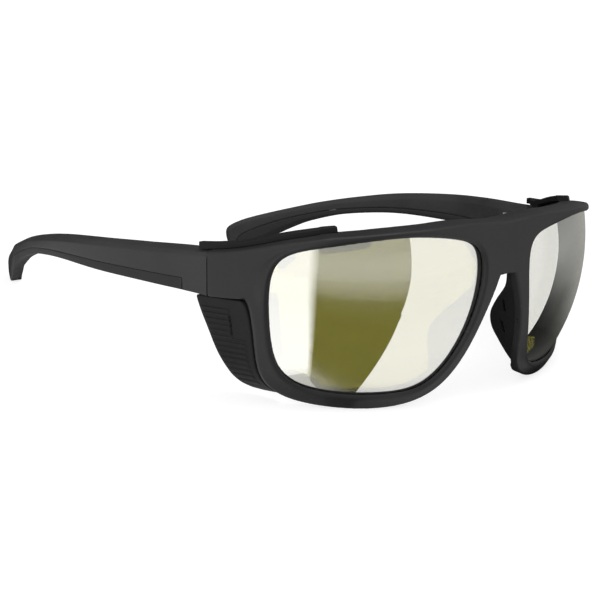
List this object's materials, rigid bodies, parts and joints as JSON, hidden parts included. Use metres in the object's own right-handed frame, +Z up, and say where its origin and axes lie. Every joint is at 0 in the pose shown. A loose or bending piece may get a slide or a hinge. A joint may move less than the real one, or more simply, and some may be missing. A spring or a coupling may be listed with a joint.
{
  "type": "sunglasses",
  "caption": "Wraparound polarized sunglasses with curved yellow-green lenses, rubber nose pads, ribbed side shields with brow wings and folding temples with hooked tips.",
  "frame": {"origin": "centre of the overall box in x and y, on the surface that the rims and the temple tips stand on", "axes": "+X to the wearer's left, +Y from the lenses towards the temple tips, +Z up"},
  "size_m": [0.1532, 0.1482, 0.0503],
  "materials": {
    "frame_plastic": "matte black moulded nylon",
    "shield_plastic": "matte black moulded plastic",
    "soft_rubber": "soft matte black rubber",
    "lens_tint": "yellow-green polarized polycarbonate with a silver flash coating",
    "hinge_steel": "stainless steel"
  },
  "bodies": {
    "front": {"front_frame": "frame_plastic", "left_lens": "lens_tint", "right_lens": "lens_tint", "left_nose_pad": "soft_rubber", "right_nose_pad": "soft_rubber", "left_side_shield": "shield_plastic", "right_side_shield": "shield_plastic", "left_front_hinge": "hinge_steel", "right_front_hinge": "hinge_steel", "left_hinge_screw": "hinge_steel", "right_hinge_screw": "hinge_steel", "left_front_leaf_screws": "hinge_steel", "right_front_leaf_screws": "hinge_steel"},
    "left_arm": {"left_temple": "frame_plastic", "left_temple_grip": "soft_rubber", "left_temple_hinge": "hinge_steel", "left_temple_leaf_screws": "hinge_steel"},
    "right_arm": {"right_temple": "frame_plastic", "right_temple_grip": "soft_rubber", "right_temple_hinge": "hinge_steel", "right_temple_leaf_screws": "hinge_steel"}
  },
  "joints": [
    {"name": "left_fold", "type": "hinge", "parent": "front", "child": "left_arm", "pos_m": [0.0621, -0.03141, 0.03231], "axis": [0, 0.1636, 0.9865], "range_deg": [0, 90]},
    {"name": "right_fold", "type": "hinge", "parent": "front", "child": "right_arm", "pos_m": [-0.0621, -0.03141, 0.03231], "axis": [0, -0.1636, -0.9865], "range_deg": [0, 74]}
  ]
}
